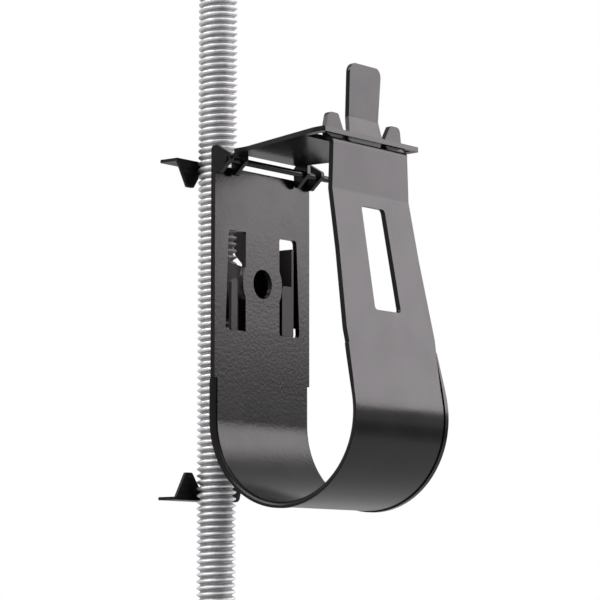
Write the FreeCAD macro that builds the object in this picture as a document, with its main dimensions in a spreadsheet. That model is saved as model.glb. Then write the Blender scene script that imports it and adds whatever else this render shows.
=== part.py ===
import FreeCAD, Part
import math
import os

# Pipe hanger on a vertical threaded rod. Millimetres, +Z up, origin at the middle of the rod's top end.
# X runs along the width of the strap, and the loop stands out towards -Y. The outlines below are drawn
# from the middle of the rod clip, and each finished piece is then lowered to the origin.

doc = FreeCAD.newDocument("pipe_hanger")
sheet = doc.addObject("Spreadsheet::Sheet", "Sizes")

SIZES = [
    # Threaded rod
    ("rod_diameter", 9.525),
    ("rod_above", 87.0),
    ("rod_below", 72.0),
    # Strap: back plate, loop and front leg from one strip
    ("strap_wall", 1.25),
    ("strap_width", 36.0),
    ("plate_standoff", 13.15),
    ("plate_top", 36.6),
    ("loop_radius", 21.2),
    ("loop_centre_drop", 23.2),
    ("flare_reach", 0.9),
    ("flare_bend", 0.625),
    ("flare_run_back", 9.5),
    ("flare_run_front", 12.0),
    ("flare_fade", 3.0),
    ("mouth_depth", 32.4),
    ("leg_bend_height", 28.3),
    ("leg_bend_radius", 3.0),
    ("leg_top", 39.7),
    ("leg_top_width", 28.8),
    ("leg_mid_width", 31.0),
    ("leg_mid_height", 14.0),
    ("leg_foot_width", 34.2),
    ("leg_foot_drop", 8.0),
    # Latch head of the leg
    ("head_width", 29.2),
    ("head_back", 1.95),
    ("head_rise", 1.5),
    ("head_bend", 1.1),
    ("head_gap", 0.5),
    ("hook_rise", 4.1),
    ("hook_lean", 0.15),
    ("hook_gap_foot", 15.6),
    ("hook_gap_tip", 20.4),
    ("hook_tip_width", 27.7),
    # Window in the leg
    ("window_top", 25.4),
    ("window_foot", 0.8),
    ("window_top_width", 9.0),
    ("window_foot_width", 10.1),
    ("window_corner", 0.9),
    # Opening of the back plate, with the set-back panel and its hole
    ("slot_top", 21.8),
    ("slot_foot", -2.0),
    ("slot_top_span", 25.8),
    ("slot_foot_span", 28.2),
    ("slot_corner", 1.0),
    ("panel_width", 12.8),
    ("panel_setback", 0.12),
    ("panel_hole", 7.1),
    ("panel_boss", 14.8),
    # Hinge: pin and the two pairs of ears
    ("pin_diameter", 1.6),
    ("pin_play", 0.05),
    ("pin_forward", 3.0),
    ("pin_drop", 2.2),
    ("pin_left", 0.3),
    ("pin_right", 3.8),
    ("ear_forward", 1.7),
    ("ear_depth", 3.2),
    ("ear_rise", 3.6),
    ("ear_shoulder", 1.1),
    ("ear_tip", 0.5),
    # Gate
    ("gate_wall", 1.15),
    ("gate_lift", 0.3),
    ("gate_width", 37.4),
    ("gate_neck_width", 25.0),
    ("gate_tail", 1.7),
    ("gate_shoulder", 0.4),
    ("gate_overhang", 0.6),
    ("gate_tilt", 2.0),
    ("gate_neck_curve", 6.0),
    ("gate_side_bar", 2.2),
    ("gate_bridge_width", 13.8),
    ("gate_slot_length", 6.0),
    ("gate_bar", 1.0),
    ("plate_clearance", 0.35),
    # Thumb tab
    ("tab_set_back", 2.3),
    ("tab_foot_width", 13.8),
    ("tab_neck_width", 12.6),
    ("tab_waist_width", 11.4),
    ("tab_tip_width", 12.1),
    ("tab_kick_back", 0.75),
    ("tab_kick_rise", 5.1),
    ("tab_lean", 1.15),
    ("tab_rise", 17.8),
    ("tab_bend", 1.0),
    ("tab_corner", 2.2),
    # Rod clip
    ("clip_wall", 0.75),
    ("clip_side", 11.3),
    ("clip_half_span", 41.5),
    ("clip_neck_top", 19.6),
    ("clip_neck_foot", 0.5),
    ("clip_neck_back", 0.7),
    ("clip_arm_front", 2.8),
    ("clip_flange_depth", 5.7),
    ("clip_flange_left", 9.5),
    ("clip_seat_gap", 0.08),
    ("clip_tab_length", 6.7),
    ("clip_tab_right", 1.6),
    ("clip_tab_tip_left", 5.6),
    ("clip_tab_tip_right", 3.3),
    ("clip_tongue_left", 5.5),
    ("clip_tongue_foot", 1.0),
    ("clip_tongue_high", 16.4),
    ("clip_tongue_low", 15.0),
    ("clip_flap_top", 10.3),
    ("clip_flap_right", 7.65),
    ("clip_flap_left", 9.4),
    ("clip_flap_left_width", 2.2),
    ("clip_band_top", 5.8),
    ("clip_shoulder", 3.6),
    ("clip_fit", 0.1),
    ("flap_inset", 0.25),
]

for index, (alias, value) in enumerate(SIZES, start=1):
    sheet.set(f"A{index}", alias.replace("_", " "))
    sheet.set(f"B{index}", str(value))
    sheet.setAlias(f"B{index}", alias)
doc.recompute()


def size(name):
    """Value of a cell of the sheet, in millimetres."""
    return float(sheet.get(name))


# Planes in which the outlines are drawn: side is Y and Z, front is X and Z, top is X and Y.
SIDE = FreeCAD.Rotation(FreeCAD.Vector(0, 1, 0), FreeCAD.Vector(0, 0, 1), FreeCAD.Vector(1, 0, 0), "ZXY")
FRONT = FreeCAD.Rotation(FreeCAD.Vector(1, 0, 0), FreeCAD.Vector(0, 0, 1), FreeCAD.Vector(0, -1, 0), "ZXY")
TOP = FreeCAD.Rotation()


def unit(start, end):
    length = math.hypot(end[0] - start[0], end[1] - start[1])
    return ((end[0] - start[0]) / length, (end[1] - start[1]) / length)


def draw_outline(sketch, corners):
    """Closes a ring of corners (x, y, radius) with lines, and with an arc where a corner has a radius."""
    count = len(corners)
    rings = []
    for index in range(count):
        before, corner, after = corners[index - 1], corners[index], corners[(index + 1) % count]
        radius = corner[2]
        here = FreeCAD.Vector(corner[0], corner[1], 0)
        if radius <= 0:
            rings.append((here, None, here))
            continue
        back = unit(corner, before)
        ahead = unit(corner, after)
        half = math.acos(max(-1.0, min(1.0, back[0] * ahead[0] + back[1] * ahead[1]))) / 2
        run = radius / math.tan(half)
        middle = (back[0] + ahead[0], back[1] + ahead[1])
        scale = math.hypot(*middle)
        reach = radius / math.sin(half) - radius
        start = here + FreeCAD.Vector(back[0] * run, back[1] * run, 0)
        end = here + FreeCAD.Vector(ahead[0] * run, ahead[1] * run, 0)
        top = here + FreeCAD.Vector(middle[0] / scale * reach, middle[1] / scale * reach, 0)
        rings.append((start, top, end))
    for index in range(count):
        start, top, end = rings[index]
        if top is not None:
            sketch.addGeometry(Part.Arc(start, top, end), False)
        following = rings[(index + 1) % count][0]
        if (following - end).Length > 1e-6:
            sketch.addGeometry(Part.LineSegment(end, following), False)


def sheet_section(path, wall):
    """Outline of a bent sheet: path holds points of the middle line and the bend radius at each."""
    sides = ([], [])
    last = len(path) - 1
    for index, (x, y, radius) in enumerate(path):
        before = unit(path[index - 1], path[index]) if index > 0 else unit(path[0], path[1])
        after = unit(path[index], path[index + 1]) if index < last else before
        turn = before[0] * after[1] - before[1] * after[0]
        sign = 0 if index in (0, last) else math.copysign(1, turn)
        normal = (-(before[1] + after[1]), before[0] + after[0])
        share = (wall / 2) / (1 + before[0] * after[0] + before[1] * after[1])
        bent = radius > 0
        for side, list_of_corners in zip((1, -1), sides):
            corner_radius = max(radius - side * sign * wall / 2, 0) if bent else 0
            list_of_corners.append((x + side * normal[0] * share, y + side * normal[1] * share, corner_radius))
    return sides[0] + sides[1][::-1]


def make_sketch(name, rotation, origin, corners):
    sketch = doc.addObject("Sketcher::SketchObject", name + "_outline")
    sketch.Placement = FreeCAD.Placement(FreeCAD.Vector(*origin), rotation)
    draw_outline(sketch, corners)
    return sketch


def prism(name, rotation, origin, corners, length, symmetric=False):
    """Outline drawn in a plane and pushed along the plane's normal by the expression given as length."""
    body = doc.addObject("Part::Extrusion", name)
    body.Base = make_sketch(name, rotation, origin, corners)
    body.DirMode = "Normal"
    body.Solid = True
    body.Symmetric = symmetric
    body.setExpression("LengthFwd", length)
    return body


def fuse(name, *pieces):
    joined = doc.addObject("Part::MultiFuse", name)
    joined.Shapes = list(pieces)
    joined.Refine = True
    return joined


def common(name, first, second):
    shared = doc.addObject("Part::MultiCommon", name)
    shared.Shapes = [first, second]
    return shared


def cut(name, base, tool):
    rest = doc.addObject("Part::Cut", name)
    rest.Base = base
    rest.Tool = tool
    rest.Refine = True
    return rest


def cylinder(name, radius, length, position, axis):
    body = doc.addObject("Part::Cylinder", name)
    body.setExpression("Radius", radius)
    body.setExpression("Height", length)
    turn = FreeCAD.Rotation(FreeCAD.Vector(0, 0, 1), FreeCAD.Vector(*axis))
    body.Placement = FreeCAD.Placement(FreeCAD.Vector(*position), turn)
    return body


def mirrored(corners):
    """Adds the left half to the right half of an outline that is symmetric about X = 0."""
    return corners + [(-x, y, radius) for x, y, radius in reversed(corners)]


# Levels and planes that several pieces share
wall = size("strap_wall")
half_width = size("strap_width") / 2
plate_back = -size("plate_standoff")
plate_front = plate_back - wall
leg_front = plate_front - size("mouth_depth")
loop_z = -size("loop_centre_drop")
loop_y = plate_back - size("loop_radius")
loop_middle = size("loop_radius") - wall / 2
gate_floor = size("leg_top") + size("gate_lift")
gate_top = gate_floor + size("gate_wall")
gate_front = leg_front - size("gate_overhang")
pin_y = plate_front - size("pin_forward")
pin_z = gate_floor - size("pin_drop")


# Strap. The loop is a turned section whose edges are flared outwards, so that they don't cut what lies in it.
def flared_section(base):
    edge = half_width - wall / 2
    bend = size("flare_bend")
    middle = base + loop_middle
    rim = middle + size("flare_reach")
    return sheet_section([(-edge, rim, 0), (-edge, middle, bend), (edge, middle, bend), (edge, rim, 0)], wall)


leg_bend_y = leg_front + wall / 2
to_bend = (leg_bend_y - loop_y, size("leg_bend_height") - loop_z)
bend_distance = math.hypot(*to_bend)
tangent_angle = math.atan2(to_bend[1], to_bend[0]) + math.acos(loop_middle / bend_distance)
sweep = 360 - math.degrees(tangent_angle)

loop_sketch = make_sketch("loop", TOP, (0, 0, loop_z), flared_section(loop_y))
loop = doc.addObject("Part::Revolution", "loop")
loop.Source = loop_sketch
loop.Base = FreeCAD.Vector(0, loop_y, loop_z)
loop.Axis = FreeCAD.Vector(-1, 0, 0)
loop.Angle = sweep
loop.Solid = True

flare_rise = prism("flare_rise", TOP, (0, 0, loop_z), flared_section(loop_y), "Sizes.flare_run_back")
flare_back_keep = prism("flare_back_keep", SIDE, (0, 0, 0), [
    (plate_front - 1, loop_z - 1, 0),
    (plate_back + size("flare_reach"), loop_z - 1, 0),
    (plate_back + size("flare_reach"), loop_z + size("flare_run_back") - size("flare_fade"), 0),
    (plate_back, loop_z + size("flare_run_back"), 0),
    (plate_front - 1, loop_z + size("flare_run_back"), 0),
], "Sizes.strap_width + 4", True)
flare_back = common("flare_back", flare_rise, flare_back_keep)
front_turn = FreeCAD.Rotation(FreeCAD.Vector(-1, 0, 0), sweep).multiply(
    FreeCAD.Rotation(FreeCAD.Vector(1, 0, 0), 180))
flare_front = prism(
    "flare_front", front_turn, (0, loop_y, loop_z),
    [(x, -y, radius) for x, y, radius in flared_section(0)], "Sizes.flare_run_front")

# Front leg: up from the loop, bent to the vertical, then back under the gate and up through it as hooks.
tangent = (loop_y + loop_middle * math.cos(tangent_angle), loop_z + loop_middle * math.sin(tangent_angle))
head_y = leg_bend_y + size("head_back")
head_foot = size("leg_top") + 1.5
head_top = head_foot + size("head_rise")
hook_top = head_top + size("hook_rise") - 0.2
leg_path = [
    (tangent[0], tangent[1], 0),
    (leg_bend_y, size("leg_bend_height"), size("leg_bend_radius")),
    (leg_bend_y, size("leg_top"), size("head_bend")),
    (head_y, head_foot, size("head_bend") * 0.8),
    (head_y, head_top, size("head_bend")),
    (head_y - size("hook_lean"), hook_top, 0),
]
leg_strip = prism("leg_strip", SIDE, (0, 0, 0), sheet_section(leg_path, wall), "Sizes.strap_width", True)
flat_half = half_width - wall - size("flare_bend")
leg_half = [
    (flat_half, tangent[1] - 1, 0),
    (flat_half, tangent[1] + 0.5, 0),
    (size("leg_foot_width") / 2, -size("leg_foot_drop") + 3.5, 9.0),
    (size("leg_mid_width") / 2, size("leg_mid_height"), 20.0),
    (size("leg_top_width") / 2, size("leg_top") - 0.8, 0.6),
    (size("head_width") / 2, size("leg_top") + 0.4, 0.6),
    (size("head_width") / 2, head_top + 0.2, 1.0),
    (size("hook_tip_width") / 2, hook_top - 0.1, 1.5),
    (size("hook_gap_tip") / 2, hook_top - 0.1, 1.0),
    (size("hook_gap_foot") / 2, head_top - 0.3, 0.6),
    (size("hook_gap_foot") / 2 - 0.3, size("leg_top") + size("head_gap"), 0.5),
]
leg_keep = prism("leg_keep", FRONT, (0, leg_front + 25, 0), mirrored(leg_half), "Sizes.mouth_depth + 25")
leg_plain = common("leg_plain", leg_strip, leg_keep)

# The flare runs out along the leg: a slanting cut leaves less and less of its edge.
leg_way = unit(tangent, leg_path[1])
leg_out = (-leg_way[1], leg_way[0])


def beside_leg(along, out):
    """Point of the side plane, along the leg from the loop's end and out from its middle line."""
    return (tangent[0] + leg_way[0] * along + leg_out[0] * out, tangent[1] + leg_way[1] * along + leg_out[1] * out, 0)


flare_run = size("flare_run_front")
flare_keep = prism("flare_keep", SIDE, (0, 0, 0), [
    beside_leg(-1, -wall),
    beside_leg(flare_run, -wall),
    beside_leg(flare_run, wall / 2),
    beside_leg(0, size("flare_reach") + 0.1),
    beside_leg(-1, size("flare_reach") + 0.1),
], "Sizes.strap_width + 4", True)
flare_narrow = prism("flare_narrow", FRONT, (0, leg_front + 25, 0), mirrored([
    (half_width + 0.1, tangent[1] - 6, 0),
    (half_width, tangent[1] + 1, 4.0),
    (size("leg_foot_width") / 2 - 0.2, -size("leg_foot_drop") + 3.5, 0),
]), "Sizes.mouth_depth + 25")
flare_end = common("flare_end", common("flare_faded", flare_front, flare_keep), flare_narrow)
leg_trimmed = fuse("leg_trimmed", leg_plain, flare_end)
window_half = [
    (size("window_foot_width") / 2, size("window_foot"), size("window_corner")),
    (size("window_top_width") / 2, size("window_top"), size("window_corner")),
]
window = prism("window", FRONT, (0, leg_front + 15, 0), mirrored(window_half), "Sizes.mouth_depth")
leg = cut("leg", leg_trimmed, window)

# Back plate: two tall slots leave a panel between them, set back and drilled.
relief = half_width - 2.4
ear_root = gate_floor - 1.0
flare_top = loop_z + size("flare_run_back")
plate_half = [
    (half_width, flare_top, 0),
    (half_width, ear_root, 0),
    (relief, ear_root, 0.5),
    (relief, size("plate_top"), 0.5),
]
plate_flat = prism("plate_flat", FRONT, (0, plate_back, 0), mirrored(plate_half), "Sizes.strap_wall")
slot_half = [
    (size("slot_foot_span") / 2, size("slot_foot"), size("slot_corner")),
    (size("slot_top_span") / 2, size("slot_top"), size("slot_corner")),
]
plate_opening = prism("plate_opening", FRONT, (0, plate_back + 1, 0), mirrored(slot_half), "Sizes.strap_wall + 2")
plate = cut("plate", plate_flat, plate_opening)

plate_middle = (plate_front + plate_back) / 2
setback_y = plate_middle + size("panel_setback")
panel_path = [
    (plate_middle, size("slot_foot"), 0),
    (plate_middle, size("slot_foot") + 0.3, 0),
    (setback_y, size("slot_foot") + 0.5, 0),
    (setback_y, size("slot_top") - 0.5, 0),
    (plate_middle, size("slot_top") - 0.3, 0),
    (plate_middle, size("slot_top"), 0),
]
panel_strip = prism("panel_strip", SIDE, (0, 0, 0), sheet_section(panel_path, wall), "Sizes.panel_boss", True)
panel_z = (size("slot_top") + size("slot_foot")) / 2
panel_half = [
    (size("panel_width") / 2, size("slot_foot") - 1, 0),
    (size("panel_width") / 2, size("slot_top") + 1, 0),
]
panel_sides = prism("panel_sides", FRONT, (0, plate_back + 2, 0), mirrored(panel_half), "Sizes.strap_wall + 4")
panel_boss = cylinder(
    "panel_boss_disc", "Sizes.panel_boss / 2", "Sizes.strap_wall + 4", (0, plate_front - 2, panel_z), (0, 1, 0))
panel_keep = fuse("panel_keep", panel_sides, panel_boss)
panel_solid = common("panel_solid", panel_strip, panel_keep)
panel_hole = cylinder(
    "panel_hole_drill", "Sizes.panel_hole / 2", "Sizes.strap_wall + 4", (0, plate_front - 2, panel_z), (0, 1, 0))
panel = cut("panel", panel_solid, panel_hole)


# Ears: cheeks across the pin. The strap's pair stands outside the gate's pair, and both have a cut lower corner.
def ear_corners(back, crown):
    front = pin_y - size("ear_forward")
    foot = pin_z - size("ear_depth")
    return [
        (back, foot + 0.3, 0.5),
        (pin_y + 1.7, foot, 0.5),
        (front, pin_z - 0.2, 0.6),
    ] + crown


ear_front = pin_y - size("ear_forward")
strap_crown = [
    (ear_front, pin_z + size("ear_shoulder"), 1.0),
    (plate_front - size("ear_tip"), pin_z + size("ear_rise"), 1.0),
    (plate_back, pin_z + size("ear_rise") - 0.3, 0.8),
]
strap_ears = []
for side, left in (("left", -half_width), ("right", half_width - wall)):
    strap_ears.append(prism(
        "strap_ear_" + side, SIDE, (left, 0, 0), ear_corners(plate_back, strap_crown), "Sizes.strap_wall"))

strap_blank = fuse("strap_blank", plate, panel, loop, flare_back, leg, *strap_ears)
strap_bore = cylinder(
    "strap_bore", "Sizes.pin_diameter / 2", "Sizes.strap_width + 4", (-half_width - 2, pin_y, pin_z), (1, 0, 0))
strap = cut("strap", strap_blank, strap_bore)
strap.Label = "hanger_strap"

# Gate: a flat cover with two slots for the hooks, ears folded down at its narrow tail, and a thumb tab that
# stands on the bridge between the slots.
tail_y = pin_y + size("gate_tail")
shoulder_y = ear_front - size("gate_shoulder")
neck_half = size("gate_neck_width") / 2
deck_half = [
    (size("gate_width") / 2, gate_front, 0.7),
    (size("gate_width") / 2, gate_front + size("gate_bar") + 2.0, 4.0),
    (neck_half, shoulder_y, size("gate_neck_curve")),
    (neck_half, tail_y, 0),
]
deck_blank = prism("deck_blank", TOP, (0, 0, gate_floor), mirrored(deck_half), "Sizes.gate_wall")
slot_front = gate_front + size("gate_bar")
slot_back = slot_front + size("gate_slot_length")
slot_outer = size("gate_width") / 2 - size("gate_side_bar")
slot_inner = size("gate_bridge_width") / 2
gate_slots = []
for side, sign in (("left", -1), ("right", 1)):
    gate_slots.append(prism("gate_slot_" + side, TOP, (0, 0, gate_floor - 1), [
        (sign * slot_outer, slot_front, 0.5),
        (sign * slot_outer, slot_back, 0.5),
        (sign * slot_inner, slot_back, 0.5),
        (sign * slot_inner, slot_front, 0.5),
    ], "Sizes.gate_wall + 2"))
deck = cut("deck", deck_blank, fuse("gate_slots", *gate_slots))

ear_back = plate_front - size("plate_clearance")
gate_crown = [
    (ear_front, gate_top, 0),
    (tail_y, gate_top, 0.6),
    (tail_y, pin_z + 2.55, 0),
    (ear_back, pin_z + 1.6, 0.4),
]
gate_ears = []
for side, left in (("left", -neck_half), ("right", neck_half - size("gate_wall"))):
    gate_ears.append(prism(
        "gate_ear_" + side, SIDE, (left, 0, 0), ear_corners(ear_back, gate_crown), "Sizes.gate_wall"))

deck_middle = gate_floor + size("gate_wall") / 2
kick_y = gate_front + size("tab_set_back")
tab_path = [
    (kick_y + 2, deck_middle, 0),
    (kick_y, deck_middle, 0.6),
    (kick_y + size("tab_kick_back"), deck_middle + size("tab_kick_rise"), size("tab_bend")),
    (kick_y + size("tab_kick_back") - size("tab_lean"), deck_middle + size("tab_rise"), 0),
]
tab_strip = prism(
    "tab_strip", SIDE, (0, 0, 0), sheet_section(tab_path, size("gate_wall")), "Sizes.tab_foot_width", True)
tab_top = deck_middle + size("tab_rise")
tab_half = [
    (size("tab_foot_width") / 2, gate_floor - 1, 0),
    (size("tab_foot_width") / 2, gate_top + 0.3, 0),
    (size("tab_neck_width") / 2, gate_top + 0.9, 1.0),
    (size("tab_waist_width") / 2, deck_middle + size("tab_kick_rise"), 3.0),
    (size("tab_tip_width") / 2, tab_top, size("tab_corner")),
]
tab_keep = prism("tab_keep", FRONT, (0, gate_front + 12, 0), mirrored(tab_half), "Sizes.mouth_depth")
tab = common("tab", tab_strip, tab_keep)
gate_blank = fuse("gate_blank", deck, tab, *gate_ears)
gate_bore = cylinder(
    "gate_bore", "Sizes.pin_diameter / 2 + Sizes.pin_play", "Sizes.strap_width",
    (-half_width, pin_y, pin_z), (1, 0, 0))
gate = cut("gate", gate_blank, gate_bore)
gate.Label = "gate"

# Hinge pin: a plain turned pin, flush on the left, standing out with a bevelled end on the right.
pin_body = doc.addObject("PartDesign::Body", "pin_body")
pin_plane = next(plane for plane in pin_body.Origin.OriginFeatures if plane.Role == "XY_Plane")
pin_sketch = pin_body.newObject("Sketcher::SketchObject", "pin_sketch")
pin_sketch.AttachmentSupport = [(pin_plane, "")]
pin_sketch.MapMode = "FlatFace"
pin_radius = size("pin_diameter") / 2
pin_start = -half_width - size("pin_left")
pin_end = half_width + size("pin_right")
draw_outline(pin_sketch, [
    (pin_start, 0, 0), (pin_end, 0, 0), (pin_end, pin_radius - 0.25, 0), (pin_end - 0.35, pin_radius, 0),
    (pin_start, pin_radius, 0)])
pin_turn = pin_body.newObject("PartDesign::Revolution", "pin_turn")
pin_turn.Profile = pin_sketch
pin_turn.ReferenceAxis = (pin_sketch, ["H_Axis"])
pin_turn.Angle = 360
pin_body.Label = "hinge_pin"
pin_body.Placement = FreeCAD.Placement(FreeCAD.Vector(0, pin_y, pin_z - size("rod_above")), FreeCAD.Rotation())

# Threaded rod: its outer cylinder, cut off square at both ends. The thread is finer than the model goes.
rod_body = doc.addObject("PartDesign::Body", "rod_body")
rod_plane = next(plane for plane in rod_body.Origin.OriginFeatures if plane.Role == "XY_Plane")
rod_sketch = rod_body.newObject("Sketcher::SketchObject", "rod_sketch")
rod_sketch.AttachmentSupport = [(rod_plane, "")]
rod_sketch.MapMode = "FlatFace"
rod_sketch.addGeometry(
    Part.Circle(FreeCAD.Vector(0, 0, 0), FreeCAD.Vector(0, 0, 1), size("rod_diameter") / 2), False)
rod_pad = rod_body.newObject("PartDesign::Pad", "rod_pad")
rod_pad.Profile = rod_sketch
rod_pad.setExpression("Length", "Sizes.rod_above + Sizes.rod_below")
rod_body.Label = "threaded_rod"
rod_length = size("rod_above") + size("rod_below")
rod_body.Placement = FreeCAD.Placement(FreeCAD.Vector(0, 0, -rod_length), FreeCAD.Rotation())

# Rod clip of spring sheet: a side cheek through the right slot with an arm up and an arm down, whose ends
# turn behind the rod, and a tongue in front of the rod at mid height. The mouth is open to the left.
clip = size("clip_wall")
rod_radius = size("rod_diameter") / 2
seat = rod_radius + size("clip_seat_gap")
cheek = size("clip_side")
cheek_out = cheek + clip
flange_back = seat + clip + size("clip_flange_depth") - clip
span = size("clip_half_span")
flap_front = plate_front + size("flap_inset")
neck_top = size("clip_neck_top")
neck_foot = size("clip_neck_foot")
neck_back = size("clip_neck_back")
arm_start = -rod_radius - 1.8
cheek_plate = prism("cheek_plate", SIDE, (cheek, 0, 0), [
    (flap_front, neck_foot, 0),
    (arm_start, neck_foot, 1.5),
    (size("clip_arm_front"), -span, 1.2),
    (flange_back, -span, 0),
    (neck_back, neck_foot + 1.5, 4.0),
    (neck_back, neck_top - 3.2, 1.2),
    (neck_back + 3.0, neck_top, 2.0),
    (flange_back, span, 0),
    (size("clip_arm_front"), span, 1.2),
    (arm_start, neck_top, 1.5),
    (flap_front, neck_top, 0),
], "Sizes.clip_wall")

clip_pieces = [cheek_plate]
flange_left = -size("clip_flange_left")
for side, level, inward in (("top", span, -1), ("foot", -span, 1)):
    low = level - clip if inward < 0 else level
    clip_pieces.append(prism("flange_" + side, TOP, (0, 0, low), [
        (flange_left, seat, 0),
        (cheek_out, seat, 0),
        (cheek_out, flange_back, 0.8),
        (flange_left, flange_back, 0.5),
    ], "Sizes.clip_wall"))
    tip = level + inward * size("clip_tab_length")
    clip_pieces.append(prism("retainer_" + side, FRONT, (0, seat + clip, 0), [
        (flange_left, level, 0),
        (size("clip_tab_right"), level, 0),
        (-size("clip_tab_tip_right"), tip, 0.4),
        (-size("clip_tab_tip_left"), tip, 0.4),
    ], "Sizes.clip_wall"))

clip_pieces.append(prism("tongue", FRONT, (0, -seat, 0), [
    (cheek_out, size("clip_tongue_foot"), 0),
    (cheek_out, size("clip_tongue_low") + 2.0, 0),
    (4.0, size("clip_tongue_low"), 3.0),
    (-size("clip_tongue_left"), size("clip_tongue_high"), 1.0),
    (-size("clip_tongue_left"), size("clip_tongue_foot") + 1.5, 1.5),
], "Sizes.clip_wall"))

flap_foot = size("slot_foot") + size("clip_fit")
flap_top = size("clip_flap_top")
clip_pieces.append(prism("flap_right", FRONT, (0, flap_front + clip, 0), [
    (size("clip_flap_right"), flap_foot, 0.4),
    (cheek_out, flap_foot, 0),
    (cheek_out, flap_top, 0),
    (size("clip_flap_right"), flap_top, 1.0),
], "Sizes.clip_wall"))
flap_edge = -size("clip_flap_left")
clip_pieces.append(prism("flap_left", FRONT, (0, flap_front + clip, 0), [
    (flap_edge - size("clip_flap_left_width"), flap_foot, 0.4),
    (flap_edge, flap_foot, 0),
    (flap_edge, flap_top, 0),
    (flap_edge - size("clip_flap_left_width"), flap_top, 1.0),
], "Sizes.clip_wall"))
band_front = plate_back + size("panel_setback") + 0.05
band_back = band_front + clip
clip_pieces.append(prism("band", TOP, (0, 0, flap_foot), [
    (flap_edge - clip, band_front, 0),
    (cheek_out, band_front, 0),
    (cheek_out, band_back, 0),
    (flap_edge - clip, band_back, 0),
], "Sizes.clip_band_top - Sizes.slot_foot"))
clip_pieces.append(prism("step", TOP, (0, 0, flap_foot), [
    (flap_edge - clip, flap_front, 0),
    (flap_edge, flap_front, 0),
    (flap_edge, band_back, 0),
    (flap_edge - clip, band_back, 0),
], "Sizes.clip_flap_top - Sizes.slot_foot - Sizes.clip_fit"))
clip_pieces.append(prism("shoulder", TOP, (0, 0, neck_foot), [
    (cheek_out - clip, band_front, 0),
    (cheek_out + size("clip_shoulder"), band_front, 0),
    (cheek_out + size("clip_shoulder"), band_back, 0),
    (cheek_out - clip, band_back, 0),
], "Sizes.clip_neck_top - Sizes.clip_neck_foot"))
rod_clip = fuse("clip_joined", *clip_pieces)
rod_clip.Label = "rod_clip"

# The closed gate rises a little towards its front, turned about the pin. Then all goes down to the origin.
to_origin = FreeCAD.Placement(FreeCAD.Vector(0, 0, -size("rod_above")), FreeCAD.Rotation())
gate_turn = FreeCAD.Rotation(FreeCAD.Vector(-1, 0, 0), size("gate_tilt"))
closed = FreeCAD.Placement(FreeCAD.Vector(0, 0, 0), gate_turn, FreeCAD.Vector(0, pin_y, pin_z))
strap.Placement = to_origin
rod_clip.Placement = to_origin
gate.Placement = to_origin.multiply(closed)

doc.recompute()

# Checks, then one file for each piece
for item in doc.Objects:
    if "Invalid" in item.State or "Error" in item.State:
        raise RuntimeError("failed: " + item.Name)

os.makedirs("parts", exist_ok=True)
for piece in (strap, gate, pin_body, rod_body, rod_clip):
    shape = piece.Shape
    if shape.isNull() or not shape.isValid() or len(shape.Solids) != 1:
        raise RuntimeError(f"bad shape: {piece.Label} {len(shape.Solids)} solids")
    print(f"{piece.Label}: {shape.Volume:.1f} mm3, {shape.BoundBox}")
    shape.exportStep(f"parts/{piece.Label}.step")
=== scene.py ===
import math

import bmesh
import bpy
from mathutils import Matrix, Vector


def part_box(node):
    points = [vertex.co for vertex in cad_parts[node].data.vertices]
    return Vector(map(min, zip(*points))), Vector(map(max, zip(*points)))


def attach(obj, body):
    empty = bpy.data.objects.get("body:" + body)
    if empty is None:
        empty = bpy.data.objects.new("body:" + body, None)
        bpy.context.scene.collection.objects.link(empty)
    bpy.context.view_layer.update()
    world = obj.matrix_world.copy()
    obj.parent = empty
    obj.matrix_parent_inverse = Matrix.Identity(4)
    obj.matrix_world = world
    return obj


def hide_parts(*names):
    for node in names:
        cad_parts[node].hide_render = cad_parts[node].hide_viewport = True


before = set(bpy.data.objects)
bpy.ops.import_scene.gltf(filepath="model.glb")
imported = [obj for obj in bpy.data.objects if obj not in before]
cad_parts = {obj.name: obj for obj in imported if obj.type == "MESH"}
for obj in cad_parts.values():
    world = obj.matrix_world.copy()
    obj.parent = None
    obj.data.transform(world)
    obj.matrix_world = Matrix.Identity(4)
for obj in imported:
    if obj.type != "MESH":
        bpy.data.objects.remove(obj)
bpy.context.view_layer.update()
mm = 0.001

# The strap is one strip of sheet steel: a back plate with two slots and a drilled panel, a loop with
# flared edges, and a front leg with a window that ends in two hooks. It was punched and bent, and then
# dipped in black paint, which pulls thin and catches the light along the cut edges.
strap_edge = 0.22 * mm
sharp_angle = math.radians(38)
flat_angle = math.radians(0.5)
weld_distance = 0.002 * mm
loop_centre_y = -34.35 * mm
loop_centre_z = -110.2 * mm
loop_middle = 20.6 * mm
thin_black = (0.0025, 0.0025, 0.0027)
bloomed_black = (0.005, 0.0048, 0.005)
paint_mirror = 0.16
paint_tint = (1.0, 0.955, 0.985, 1.0)
bloom_size = 9 * mm
grain_size = 0.35 * mm
peel_size = 0.85 * mm
fine_peel_size = 0.4 * mm
rough_side_peel = 1.7
dulling = 0.04


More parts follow.
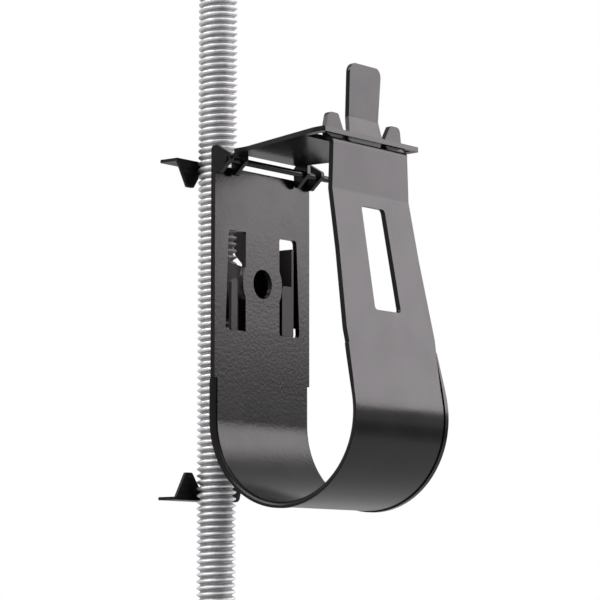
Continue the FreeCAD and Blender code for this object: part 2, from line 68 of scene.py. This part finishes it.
class Signal:
    """The output of a node, on which sums are written as Python expressions."""

    def __init__(self, shading, socket):
        self.shading = shading
        self.socket = socket

    def combine(self, operation, first, second):
        return self.shading.node("ShaderNodeMath", {"operation": operation}, {0: first, 1: second}, "Value")

    def __add__(self, other):
        return self.combine("ADD", self, other)

    def __radd__(self, other):
        return self.combine("ADD", other, self)

    def __sub__(self, other):
        return self.combine("SUBTRACT", self, other)

    def __rsub__(self, other):
        return self.combine("SUBTRACT", other, self)

    def __mul__(self, other):
        return self.combine("MULTIPLY", self, other)

    def __rmul__(self, other):
        return self.combine("MULTIPLY", other, self)

    def __pow__(self, other):
        return self.combine("POWER", self, other)

    def smaller(self, other):
        return self.combine("MINIMUM", self, other)

    def larger(self, other):
        return self.combine("MAXIMUM", self, other)

    def smooth(self, low, high):
        """0 below low, 1 above high, and soft in between."""
        limits = {"Value": self, "From Min": low, "From Max": high}
        return self.shading.node("ShaderNodeMapRange", {"interpolation_type": "SMOOTHSTEP"}, limits, "Result")


class Shading:
    """The nodes of a material or of the surround."""

    def __init__(self, tree):
        self.tree = tree

    def node(self, kind, settings, sockets, output):
        """Adds a node with its settings and its sockets' values, and gives one of its outputs."""
        node = self.tree.nodes.new(kind)
        for label, value in settings.items():
            setattr(node, label, value)
        for label, value in sockets.items():
            self.feed(node.inputs[label], value)
        return Signal(self, node.outputs[output])

    def feed(self, socket, value):
        if isinstance(value, Signal):
            self.tree.links.new(value.socket, socket)
        else:
            socket.default_value = value


class Finish(Shading):
    """A material, built on one Principled shader."""

    def __init__(self, name):
        self.material = bpy.data.materials.new(name)
        self.material.use_nodes = True
        super().__init__(self.material.node_tree)
        self.shader = self.tree.nodes["Principled BSDF"]

    def set(self, label, value):
        self.feed(self.shader.inputs[label], value)

    def place(self, axis):
        """Coordinate on the object, in metres."""
        coordinates = self.node("ShaderNodeTexCoord", {}, {}, "Object")
        return self.node("ShaderNodeSeparateXYZ", {}, {"Vector": coordinates}, axis)

    def noise(self, size, detail, stretch=(1.0, 1.0, 1.0)):
        """Noise whose features are about size metres across."""
        coordinates = self.node("ShaderNodeTexCoord", {}, {}, "Object")
        mapped = self.node("ShaderNodeMapping", {}, {"Vector": coordinates, "Scale": stretch}, "Vector")
        sockets = {"Vector": mapped, "Scale": 1.0 / size, "Detail": detail}
        return self.node("ShaderNodeTexNoise", {}, sockets, "Fac")

    def blend(self, factor, first, second):
        """Colour between two colours. A Mix node has several sockets of one name, so they go by number."""
        sockets = {0: factor, 6: (*first, 1.0), 7: (*second, 1.0)}
        return self.node("ShaderNodeMix", {"data_type": "RGBA"}, sockets, 2)

    def bump(self, height, depth):
        sockets = {"Height": height, "Distance": depth, "Strength": 1.0}
        return self.node("ShaderNodeBump", {}, sockets, "Normal")


def black_paint(name, peel, roughness, rough_side=None):
    """Dipped black paint: orange peel in the wet film, and a duller, greyer bloom in patches. On a rough
    side the peel is deeper and the film duller."""
    finish = Finish(name)
    finish.set("Specular IOR Level", paint_mirror)
    finish.set("Specular Tint", paint_tint)
    bloom = finish.noise(bloom_size, 4.0).smooth(0.35, 0.75)
    grain = finish.noise(grain_size, 3.0)
    finish.set("Base Color", finish.blend(bloom, thin_black, bloomed_black))
    rough = rough_side(finish) if rough_side else 0.0
    finish.set("Roughness", roughness + bloom * dulling + grain * dulling + rough * dulling)
    film = finish.noise(peel_size, 1.0) + finish.noise(fine_peel_size, 1.0) * 0.4
    finish.set("Normal", finish.bump(film * (1.0 + rough * rough_side_peel), peel))
    return finish


def inside_of_strap(finish):
    """1 on the side of the strap that the pipe lies against, 0 on its outside."""
    across = finish.place("Y") - loop_centre_y
    below = (finish.place("Z") - loop_centre_z).smaller(0.0)
    radius = (across * across + below * below) ** 0.5
    behind = across.smooth(0.0, 1 * mm)
    low = 1.0 - below.smooth(-1 * mm, 0.0)
    within = 1.0 - radius.smooth(loop_middle - 0.2 * mm, loop_middle + 0.2 * mm)
    return within * (behind + low - behind * low)


def add_piece(name, mesh):
    """Puts a finished mesh into the scene as an object."""
    data = bpy.data.meshes.new(name)
    mesh.to_mesh(data)
    mesh.free()
    piece = bpy.data.objects.new(name, data)
    bpy.context.scene.collection.objects.link(piece)
    return piece


def worked_edges(node, name, width):
    """Copy of a node's solid with its sharp edges rounded, as the cut edge of a sheet is."""
    mesh = bmesh.new()
    mesh.from_mesh(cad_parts[node].data)
    bmesh.ops.transform(mesh, matrix=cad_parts[node].matrix_world, verts=mesh.verts)
    bmesh.ops.remove_doubles(mesh, verts=mesh.verts, dist=weld_distance)
    bmesh.ops.dissolve_limit(mesh, angle_limit=flat_angle, verts=mesh.verts, edges=mesh.edges)
    for face in mesh.faces:
        face.smooth = True
    piece = add_piece(name, mesh)
    rounding = piece.modifiers.new("rounding", "BEVEL")
    rounding.width = width
    rounding.segments = 2
    rounding.limit_method = "ANGLE"
    rounding.angle_limit = sharp_angle
    rounding.use_clamp_overlap = True
    rounding.harden_normals = False
    flat = piece.modifiers.new("flat_faces", "WEIGHTED_NORMAL")
    flat.keep_sharp = True
    return piece


strap = worked_edges("hanger_strap", "strap", strap_edge)
strap_paint = black_paint("strap_paint", peel=0.010 * mm, roughness=0.16, rough_side=inside_of_strap)
strap.data.materials.append(strap_paint.material)
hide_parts("hanger_strap")
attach(strap, "hanger")

# The gate is a second stamping: a flat cover that turns on the pin, with two slots for the strap's hooks
# and a thumb tab folded up from the bridge between them. It has the same black paint.
gate_edge = 0.20 * mm
gate = worked_edges("gate", "gate_plate", gate_edge)
gate_paint = black_paint("gate_paint", peel=0.010 * mm, roughness=0.16)
gate.data.materials.append(gate_paint.material)
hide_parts("gate")
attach(gate, "gate")

# The hinge pin is plain turned steel, and the gate swings on it. It is held tight in the strap's ears
# and is painted with them.
pin_edge = 0.08 * mm
pin = worked_edges("hinge_pin", "pin", pin_edge)
pin_paint = black_paint("pin_paint", peel=0.006 * mm, roughness=0.22)
pin.data.materials.append(pin_paint.material)
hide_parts("hinge_pin")
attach(pin, "hanger")

# The clip is thin spring sheet, hardened and blackened. It hooks through the plate's slots and grips the
# rod with a tongue in front and two tapered tabs behind.
clip_edge = 0.10 * mm
clip = worked_edges("rod_clip", "clip", clip_edge)
clip_black = black_paint("clip_black", peel=0.008 * mm, roughness=0.30)
clip.data.materials.append(clip_black.material)
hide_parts("rod_clip")
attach(clip, "hanger")

# The rod is rolled from steel with a coarse thread over its whole length, and then zinc plated. The
# plating is smoother on the crests than in the roots, and the roots are painted darker as painted shade.
rod_low, rod_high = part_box("threaded_rod")
rod_radius = (rod_high[0] - rod_low[0]) / 2
thread_pitch = 25.4 / 16 * mm
thread_depth = 0.95 * mm
steps_round = 40
# Share of one pitch, and share of the depth that is left standing there
thread_form = [(0.0, 0.0), (0.14, 0.0), (0.46, 0.93), (0.53, 1.0), (0.61, 1.0), (0.68, 0.93)]
seam_distance = 0.001 * mm
cut_distance = 0.0005 * mm
root_painted_shade_grey = (0.24, 0.24, 0.245)
crest_grey = (0.80, 0.80, 0.81)
mottle_size = 1.6 * mm
drawn_size = 0.5 * mm
along_rod = (1.0, 1.0, 4.0)
plating_relief = 0.16 * mm


def thread_ring(mesh, turn, along, standing):
    """One turn of the line that runs round the thread at a share of its pitch and depth."""
    start = rod_low[2] - thread_pitch
    radius = rod_radius - thread_depth * (1 - standing)
    ring = []
    for step in range(steps_round + 1):
        angle = math.tau * step / steps_round
        height = start + (turn + along + step / steps_round) * thread_pitch
        ring.append(mesh.verts.new((radius * math.cos(angle), radius * math.sin(angle), height)))
    return ring


def threaded_bar():
    """Bar with a helical thread, sawn off flat at both ends."""
    mesh = bmesh.new()
    turns = math.ceil((rod_high[2] - rod_low[2]) / thread_pitch) + 2
    rings = [thread_ring(mesh, turn, *form) for turn in range(turns) for form in thread_form]
    for lower, upper in zip(rings, rings[1:]):
        for step in range(steps_round):
            mesh.faces.new((lower[step], lower[step + 1], upper[step + 1], upper[step]))
    bmesh.ops.remove_doubles(mesh, verts=mesh.verts, dist=seam_distance)
    for level, side in ((rod_high[2], 1), (rod_low[2], -1)):
        cut = bmesh.ops.bisect_plane(
            mesh,
            geom=list(mesh.verts) + list(mesh.edges) + list(mesh.faces),
            dist=cut_distance,
            plane_co=(0, 0, level),
            plane_no=(0, 0, side),
            clear_outer=True)
        rim = [item for item in cut["geom_cut"] if isinstance(item, bmesh.types.BMEdge)]
        bmesh.ops.holes_fill(mesh, edges=rim, sides=0)
    bmesh.ops.recalc_face_normals(mesh, faces=mesh.faces)
    return add_piece("rod", mesh)


rod = threaded_bar()
zinc = Finish("zinc")
zinc.set("Metallic", 1.0)
radius_here = (zinc.place("X") ** 2.0 + zinc.place("Y") ** 2.0) ** 0.5
crest = radius_here.smooth(rod_radius - thread_depth, rod_radius)
mottle = zinc.noise(mottle_size, 5.0)
drawn = zinc.noise(drawn_size, 3.0, along_rod)
# Colour darker in the thread roots and lighter on the crests is painted shade; the mottle is the plating's
# own uneven tone.
zinc.set("Base Color", zinc.blend(crest * 0.6 + mottle * 0.4, root_painted_shade_grey, crest_grey))
zinc.set("Roughness", 0.38 - crest * 0.12 + mottle * 0.2)
zinc.set("Normal", zinc.bump(drawn + mottle * 0.6, plating_relief))
rod.data.materials.append(zinc.material)
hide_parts("threaded_rod")
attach(rod, "hanger")

# The studio has a pale floor under the hanging rod, a white surround and three softboxes: one on the
# right beside the front leg, one in front and above, and one high on the left.
floor_drop = 180 * mm
floor_size = 6.0
floor_grey = (0.80, 0.80, 0.80)
floor_pale = (0.83, 0.83, 0.83)
floor_mottle = 0.4
floor_mesh = bmesh.new()
bmesh.ops.create_grid(floor_mesh, x_segments=1, y_segments=1, size=floor_size / 2)
floor = add_piece("floor", floor_mesh)
floor.location = (0, 0, rod_low[2] - floor_drop)
floor_paint = Finish("floor_paint")
floor_paint.set("Roughness", 0.9)
floor_paint.set("Base Color", floor_paint.blend(floor_paint.noise(floor_mottle, 1.0), floor_grey, floor_pale))
floor.data.materials.append(floor_paint.material)

# The surround is white to the camera and in metal and glass, and lights the object less than that.
surround_light = 0.45
world = bpy.data.worlds.new("surround")
bpy.context.scene.world = world
world.use_nodes = True
surround = Shading(world.node_tree)
seen = surround.node("ShaderNodeLightPath", {}, {}, "Is Camera Ray")
for ray in ("Is Transmission Ray", "Is Glossy Ray"):
    seen = seen.larger(surround.node("ShaderNodeLightPath", {}, {}, ray))
strengths = {"Value": seen, "To Min": surround_light, "To Max": 1.0}
strength = surround.node("ShaderNodeMapRange", {}, strengths, "Result")
backdrop = surround.tree.nodes["Background"]
surround.feed(backdrop.inputs["Color"], (1.0, 1.0, 1.0, 1.0))
surround.feed(backdrop.inputs["Strength"], strength)

object_middle = Vector((0.0, -0.025, -0.085))
softbox_distance = 0.9
softbox_colour = (1.0, 0.955, 0.985)


def softbox(name, towards, width, height, radiance):
    """A softbox that looks at the object from a direction, at a given brightness of its cloth."""
    light = bpy.data.lights.new(name, "AREA")
    light.shape = "RECTANGLE"
    light.size = width
    light.size_y = height
    light.energy = radiance * math.pi * width * height
    light.color = softbox_colour
    lamp = bpy.data.objects.new(name, light)
    way = Vector(towards).normalized()
    lamp.location = object_middle + way * softbox_distance
    lamp.rotation_euler = (-way).to_track_quat("-Z", "Y").to_euler()
    bpy.context.scene.collection.objects.link(lamp)


softbox("leg_softbox", towards=(0.78, -0.62, 0.475), width=0.32, height=0.62, radiance=8.0)
softbox("top_softbox", towards=(-0.1, -0.6, 0.9), width=0.6, height=0.6, radiance=2.0)
softbox("left_softbox", towards=(-0.86, 0.52, 0.95), width=0.5, height=0.5, radiance=8.5)

# The camera stands low on the left and looks up a little, as in the photograph.
camera_heading = math.radians(51.8)
camera_pitch = math.radians(6.67)
photo_width = 600
focal_pixels = 2635
sensor_width = 36.0
camera_data = bpy.data.cameras.new("camera")
camera_data.sensor_width = sensor_width
camera_data.lens = focal_pixels / photo_width * sensor_width
camera_data.clip_start = 0.01
camera_data.clip_end = 50
camera = bpy.data.objects.new("camera", camera_data)
camera.location = (-487.9 * mm, -409.6 * mm, -154.3 * mm)
gaze = Vector((
    math.sin(camera_heading) * math.cos(camera_pitch),
    math.cos(camera_heading) * math.cos(camera_pitch),
    math.sin(camera_pitch)))
camera.rotation_euler = gaze.to_track_quat("-Z", "Y").to_euler()
bpy.context.scene.collection.objects.link(camera)
bpy.context.scene.camera = camera
bpy.context.scene.view_settings.view_transform = "Standard"
